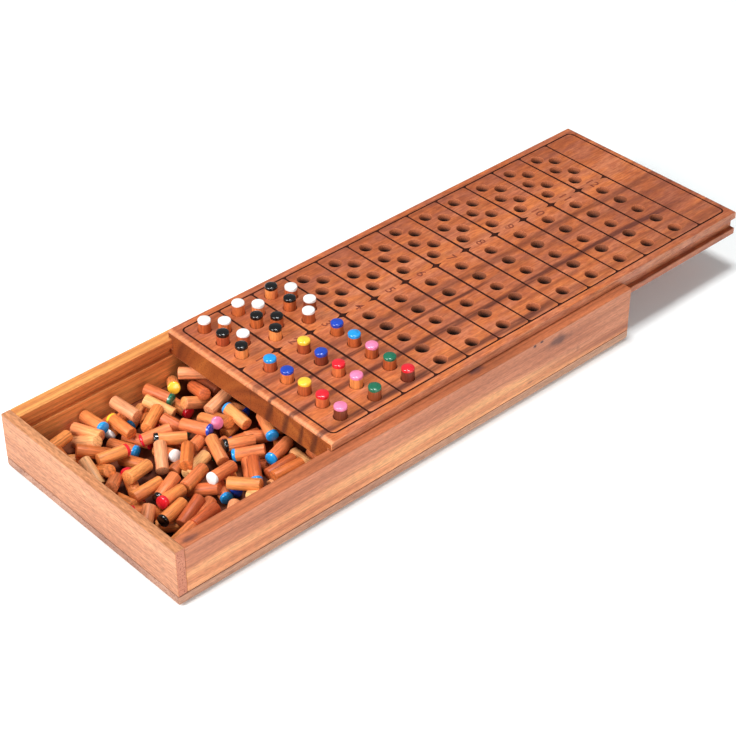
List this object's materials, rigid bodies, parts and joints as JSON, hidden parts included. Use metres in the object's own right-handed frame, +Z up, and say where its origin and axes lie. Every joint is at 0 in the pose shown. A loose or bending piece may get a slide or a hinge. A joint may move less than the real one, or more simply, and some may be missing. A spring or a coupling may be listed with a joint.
{
  "type": "code-breaking peg game",
  "caption": "Wooden code-breaking peg game: a shallow tray of loose pegs under a sliding board with numbered rows of code holes and key holes, some of them filled.",
  "frame": {"origin": "middle of the tray's underside", "axes": "+X along the tray towards the end that the board slides out over, +Y towards the key-hole side, +Z up"},
  "size_m": [0.4473, 0.154, 0.052],
  "materials": {
    "tray_wood": "satin varnish, grain lengthwise",
    "board_wood": "satin varnish with burnt lines",
    "peg_wood": "bare wood, lightly polished",
    "peg_light_blue": "gloss paint dip",
    "peg_dark_blue": "gloss paint dip",
    "peg_yellow": "gloss paint dip",
    "peg_red": "gloss paint dip",
    "peg_pink": "gloss paint dip",
    "peg_green": "gloss paint dip",
    "peg_white": "gloss paint dip",
    "peg_black": "gloss paint dip"
  },
  "bodies": {
    "tray": {"tray_base": "tray_wood", "front_wall": "tray_wood", "back_wall": "tray_wood", "closed_end_wall": "tray_wood", "open_end_wall": "tray_wood", "loose_peg_pink_1": "peg_pink", "loose_peg_dark_blue_1": "peg_dark_blue", "loose_peg_green_1": "peg_green", "loose_peg_yellow_1": "peg_yellow", "loose_peg_red_1": "peg_red", "loose_peg_light_blue_1": "peg_light_blue", "loose_peg_green_2": "peg_green", "loose_peg_red_2": "peg_red", "loose_peg_pink_2": "peg_pink", "loose_peg_yellow_2": "peg_yellow", "loose_peg_light_blue_2": "peg_light_blue", "loose_peg_black_1": "peg_black", "loose_peg_group_1": "peg_wood", "loose_peg_group_2": "peg_wood", "loose_peg_group_3": "peg_wood", "loose_peg_group_4": "peg_wood", "loose_peg_group_5": "peg_wood", "loose_peg_group_6": "peg_wood", "loose_peg_group_7": "peg_wood", "loose_peg_group_8": "peg_wood", "loose_peg_group_9": "peg_wood", "loose_peg_group_10": "peg_wood", "loose_peg_group_11": "peg_wood", "loose_peg_group_12": "peg_wood"},
    "board": {"peg_board": "board_wood"},
    "code_peg_row_1_hole_1": {"code_peg_row_1_hole_1": "peg_light_blue"},
    "code_peg_row_1_hole_2": {"code_peg_row_1_hole_2": "peg_dark_blue"},
    "code_peg_row_1_hole_3": {"code_peg_row_1_hole_3": "peg_yellow"},
    "code_peg_row_1_hole_4": {"code_peg_row_1_hole_4": "peg_red"},
    "code_peg_row_1_hole_5": {"code_peg_row_1_hole_5": "peg_pink"},
    "code_peg_row_2_hole_1": {"code_peg_row_2_hole_1": "peg_yellow"},
    "code_peg_row_2_hole_2": {"code_peg_row_2_hole_2": "peg_dark_blue"},
    "code_peg_row_2_hole_3": {"code_peg_row_2_hole_3": "peg_red"},
    "code_peg_row_2_hole_4": {"code_peg_row_2_hole_4": "peg_pink"},
    "code_peg_row_2_hole_5": {"code_peg_row_2_hole_5": "peg_green"},
    "code_peg_row_3_hole_1": {"code_peg_row_3_hole_1": "peg_dark_blue"},
    "code_peg_row_3_hole_2": {"code_peg_row_3_hole_2": "peg_light_blue"},
    "code_peg_row_3_hole_3": {"code_peg_row_3_hole_3": "peg_pink"},
    "code_peg_row_3_hole_4": {"code_peg_row_3_hole_4": "peg_green"},
    "code_peg_row_3_hole_5": {"code_peg_row_3_hole_5": "peg_red"},
    "key_peg_row_1_hole_1": {"key_peg_row_1_hole_1": "peg_black"},
    "key_peg_row_1_hole_2": {"key_peg_row_1_hole_2": "peg_white"},
    "key_peg_row_1_hole_3": {"key_peg_row_1_hole_3": "peg_black"},
    "key_peg_row_1_hole_4": {"key_peg_row_1_hole_4": "peg_white"},
    "key_peg_row_1_hole_5": {"key_peg_row_1_hole_5": "peg_white"},
    "key_peg_row_2_hole_1": {"key_peg_row_2_hole_1": "peg_black"},
    "key_peg_row_2_hole_2": {"key_peg_row_2_hole_2": "peg_black"},
    "key_peg_row_2_hole_3": {"key_peg_row_2_hole_3": "peg_black"},
    "key_peg_row_2_hole_4": {"key_peg_row_2_hole_4": "peg_white"},
    "key_peg_row_2_hole_5": {"key_peg_row_2_hole_5": "peg_white"},
    "key_peg_row_3_hole_1": {"key_peg_row_3_hole_1": "peg_white"},
    "key_peg_row_3_hole_2": {"key_peg_row_3_hole_2": "peg_white"},
    "key_peg_row_3_hole_3": {"key_peg_row_3_hole_3": "peg_black"},
    "key_peg_row_3_hole_4": {"key_peg_row_3_hole_4": "peg_white"},
    "key_peg_row_3_hole_5": {"key_peg_row_3_hole_5": "peg_black"}
  },
  "joints": [
    {"name": "board_slide", "type": "slide", "parent": "tray", "child": "board", "axis": [1, 0, 0], "range_m": [-0.1045, 0.235]},
    {"name": "code_peg_row_1_hole_1_lift", "type": "slide", "parent": "board", "child": "code_peg_row_1_hole_1", "axis": [0, 0, 1], "range_m": [0, 0.015]},
    {"name": "code_peg_row_1_hole_2_lift", "type": "slide", "parent": "board", "child": "code_peg_row_1_hole_2", "axis": [0, 0, 1], "range_m": [0, 0.015]},
    {"name": "code_peg_row_1_hole_3_lift", "type": "slide", "parent": "board", "child": "code_peg_row_1_hole_3", "axis": [0, 0, 1], "range_m": [0, 0.015]},
    {"name": "code_peg_row_1_hole_4_lift", "type": "slide", "parent": "board", "child": "code_peg_row_1_hole_4", "axis": [0, 0, 1], "range_m": [0, 0.015]},
    {"name": "code_peg_row_1_hole_5_lift", "type": "slide", "parent": "board", "child": "code_peg_row_1_hole_5", "axis": [0, 0, 1], "range_m": [0, 0.015]},
    {"name": "code_peg_row_2_hole_1_lift", "type": "slide", "parent": "board", "child": "code_peg_row_2_hole_1", "axis": [0, 0, 1], "range_m": [0, 0.015]},
    {"name": "code_peg_row_2_hole_2_lift", "type": "slide", "parent": "board", "child": "code_peg_row_2_hole_2", "axis": [0, 0, 1], "range_m": [0, 0.015]},
    {"name": "code_peg_row_2_hole_3_lift", "type": "slide", "parent": "board", "child": "code_peg_row_2_hole_3", "axis": [0, 0, 1], "range_m": [0, 0.015]},
    {"name": "code_peg_row_2_hole_4_lift", "type": "slide", "parent": "board", "child": "code_peg_row_2_hole_4", "axis": [0, 0, 1], "range_m": [0, 0.015]},
    {"name": "code_peg_row_2_hole_5_lift", "type": "slide", "parent": "board", "child": "code_peg_row_2_hole_5", "axis": [0, 0, 1], "range_m": [0, 0.015]},
    {"name": "code_peg_row_3_hole_1_lift", "type": "slide", "parent": "board", "child": "code_peg_row_3_hole_1", "axis": [0, 0, 1], "range_m": [0, 0.015]},
    {"name": "code_peg_row_3_hole_2_lift", "type": "slide", "parent": "board", "child": "code_peg_row_3_hole_2", "axis": [0, 0, 1], "range_m": [0, 0.015]},
    {"name": "code_peg_row_3_hole_3_lift", "type": "slide", "parent": "board", "child": "code_peg_row_3_hole_3", "axis": [0, 0, 1], "range_m": [0, 0.015]},
    {"name": "code_peg_row_3_hole_4_lift", "type": "slide", "parent": "board", "child": "code_peg_row_3_hole_4", "axis": [0, 0, 1], "range_m": [0, 0.015]},
    {"name": "code_peg_row_3_hole_5_lift", "type": "slide", "parent": "board", "child": "code_peg_row_3_hole_5", "axis": [0, 0, 1], "range_m": [0, 0.015]},
    {"name": "key_peg_row_1_hole_1_lift", "type": "slide", "parent": "board", "child": "key_peg_row_1_hole_1", "axis": [0, 0, 1], "range_m": [0, 0.015]},
    {"name": "key_peg_row_1_hole_2_lift", "type": "slide", "parent": "board", "child": "key_peg_row_1_hole_2", "axis": [0, 0, 1], "range_m": [0, 0.015]},
    {"name": "key_peg_row_1_hole_3_lift", "type": "slide", "parent": "board", "child": "key_peg_row_1_hole_3", "axis": [0, 0, 1], "range_m": [0, 0.015]},
    {"name": "key_peg_row_1_hole_4_lift", "type": "slide", "parent": "board", "child": "key_peg_row_1_hole_4", "axis": [0, 0, 1], "range_m": [0, 0.015]},
    {"name": "key_peg_row_1_hole_5_lift", "type": "slide", "parent": "board", "child": "key_peg_row_1_hole_5", "axis": [0, 0, 1], "range_m": [0, 0.015]},
    {"name": "key_peg_row_2_hole_1_lift", "type": "slide", "parent": "board", "child": "key_peg_row_2_hole_1", "axis": [0, 0, 1], "range_m": [0, 0.015]},
    {"name": "key_peg_row_2_hole_2_lift", "type": "slide", "parent": "board", "child": "key_peg_row_2_hole_2", "axis": [0, 0, 1], "range_m": [0, 0.015]},
    {"name": "key_peg_row_2_hole_3_lift", "type": "slide", "parent": "board", "child": "key_peg_row_2_hole_3", "axis": [0, 0, 1], "range_m": [0, 0.015]},
    {"name": "key_peg_row_2_hole_4_lift", "type": "slide", "parent": "board", "child": "key_peg_row_2_hole_4", "axis": [0, 0, 1], "range_m": [0, 0.015]},
    {"name": "key_peg_row_2_hole_5_lift", "type": "slide", "parent": "board", "child": "key_peg_row_2_hole_5", "axis": [0, 0, 1], "range_m": [0, 0.015]},
    {"name": "key_peg_row_3_hole_1_lift", "type": "slide", "parent": "board", "child": "key_peg_row_3_hole_1", "axis": [0, 0, 1], "range_m": [0, 0.015]},
    {"name": "key_peg_row_3_hole_2_lift", "type": "slide", "parent": "board", "child": "key_peg_row_3_hole_2", "axis": [0, 0, 1], "range_m": [0, 0.015]},
    {"name": "key_peg_row_3_hole_3_lift", "type": "slide", "parent": "board", "child": "key_peg_row_3_hole_3", "axis": [0, 0, 1], "range_m": [0, 0.015]},
    {"name": "key_peg_row_3_hole_4_lift", "type": "slide", "parent": "board", "child": "key_peg_row_3_hole_4", "axis": [0, 0, 1], "range_m": [0, 0.015]},
    {"name": "key_peg_row_3_hole_5_lift", "type": "slide", "parent": "board", "child": "key_peg_row_3_hole_5", "axis": [0, 0, 1], "range_m": [0, 0.015]}
  ]
}
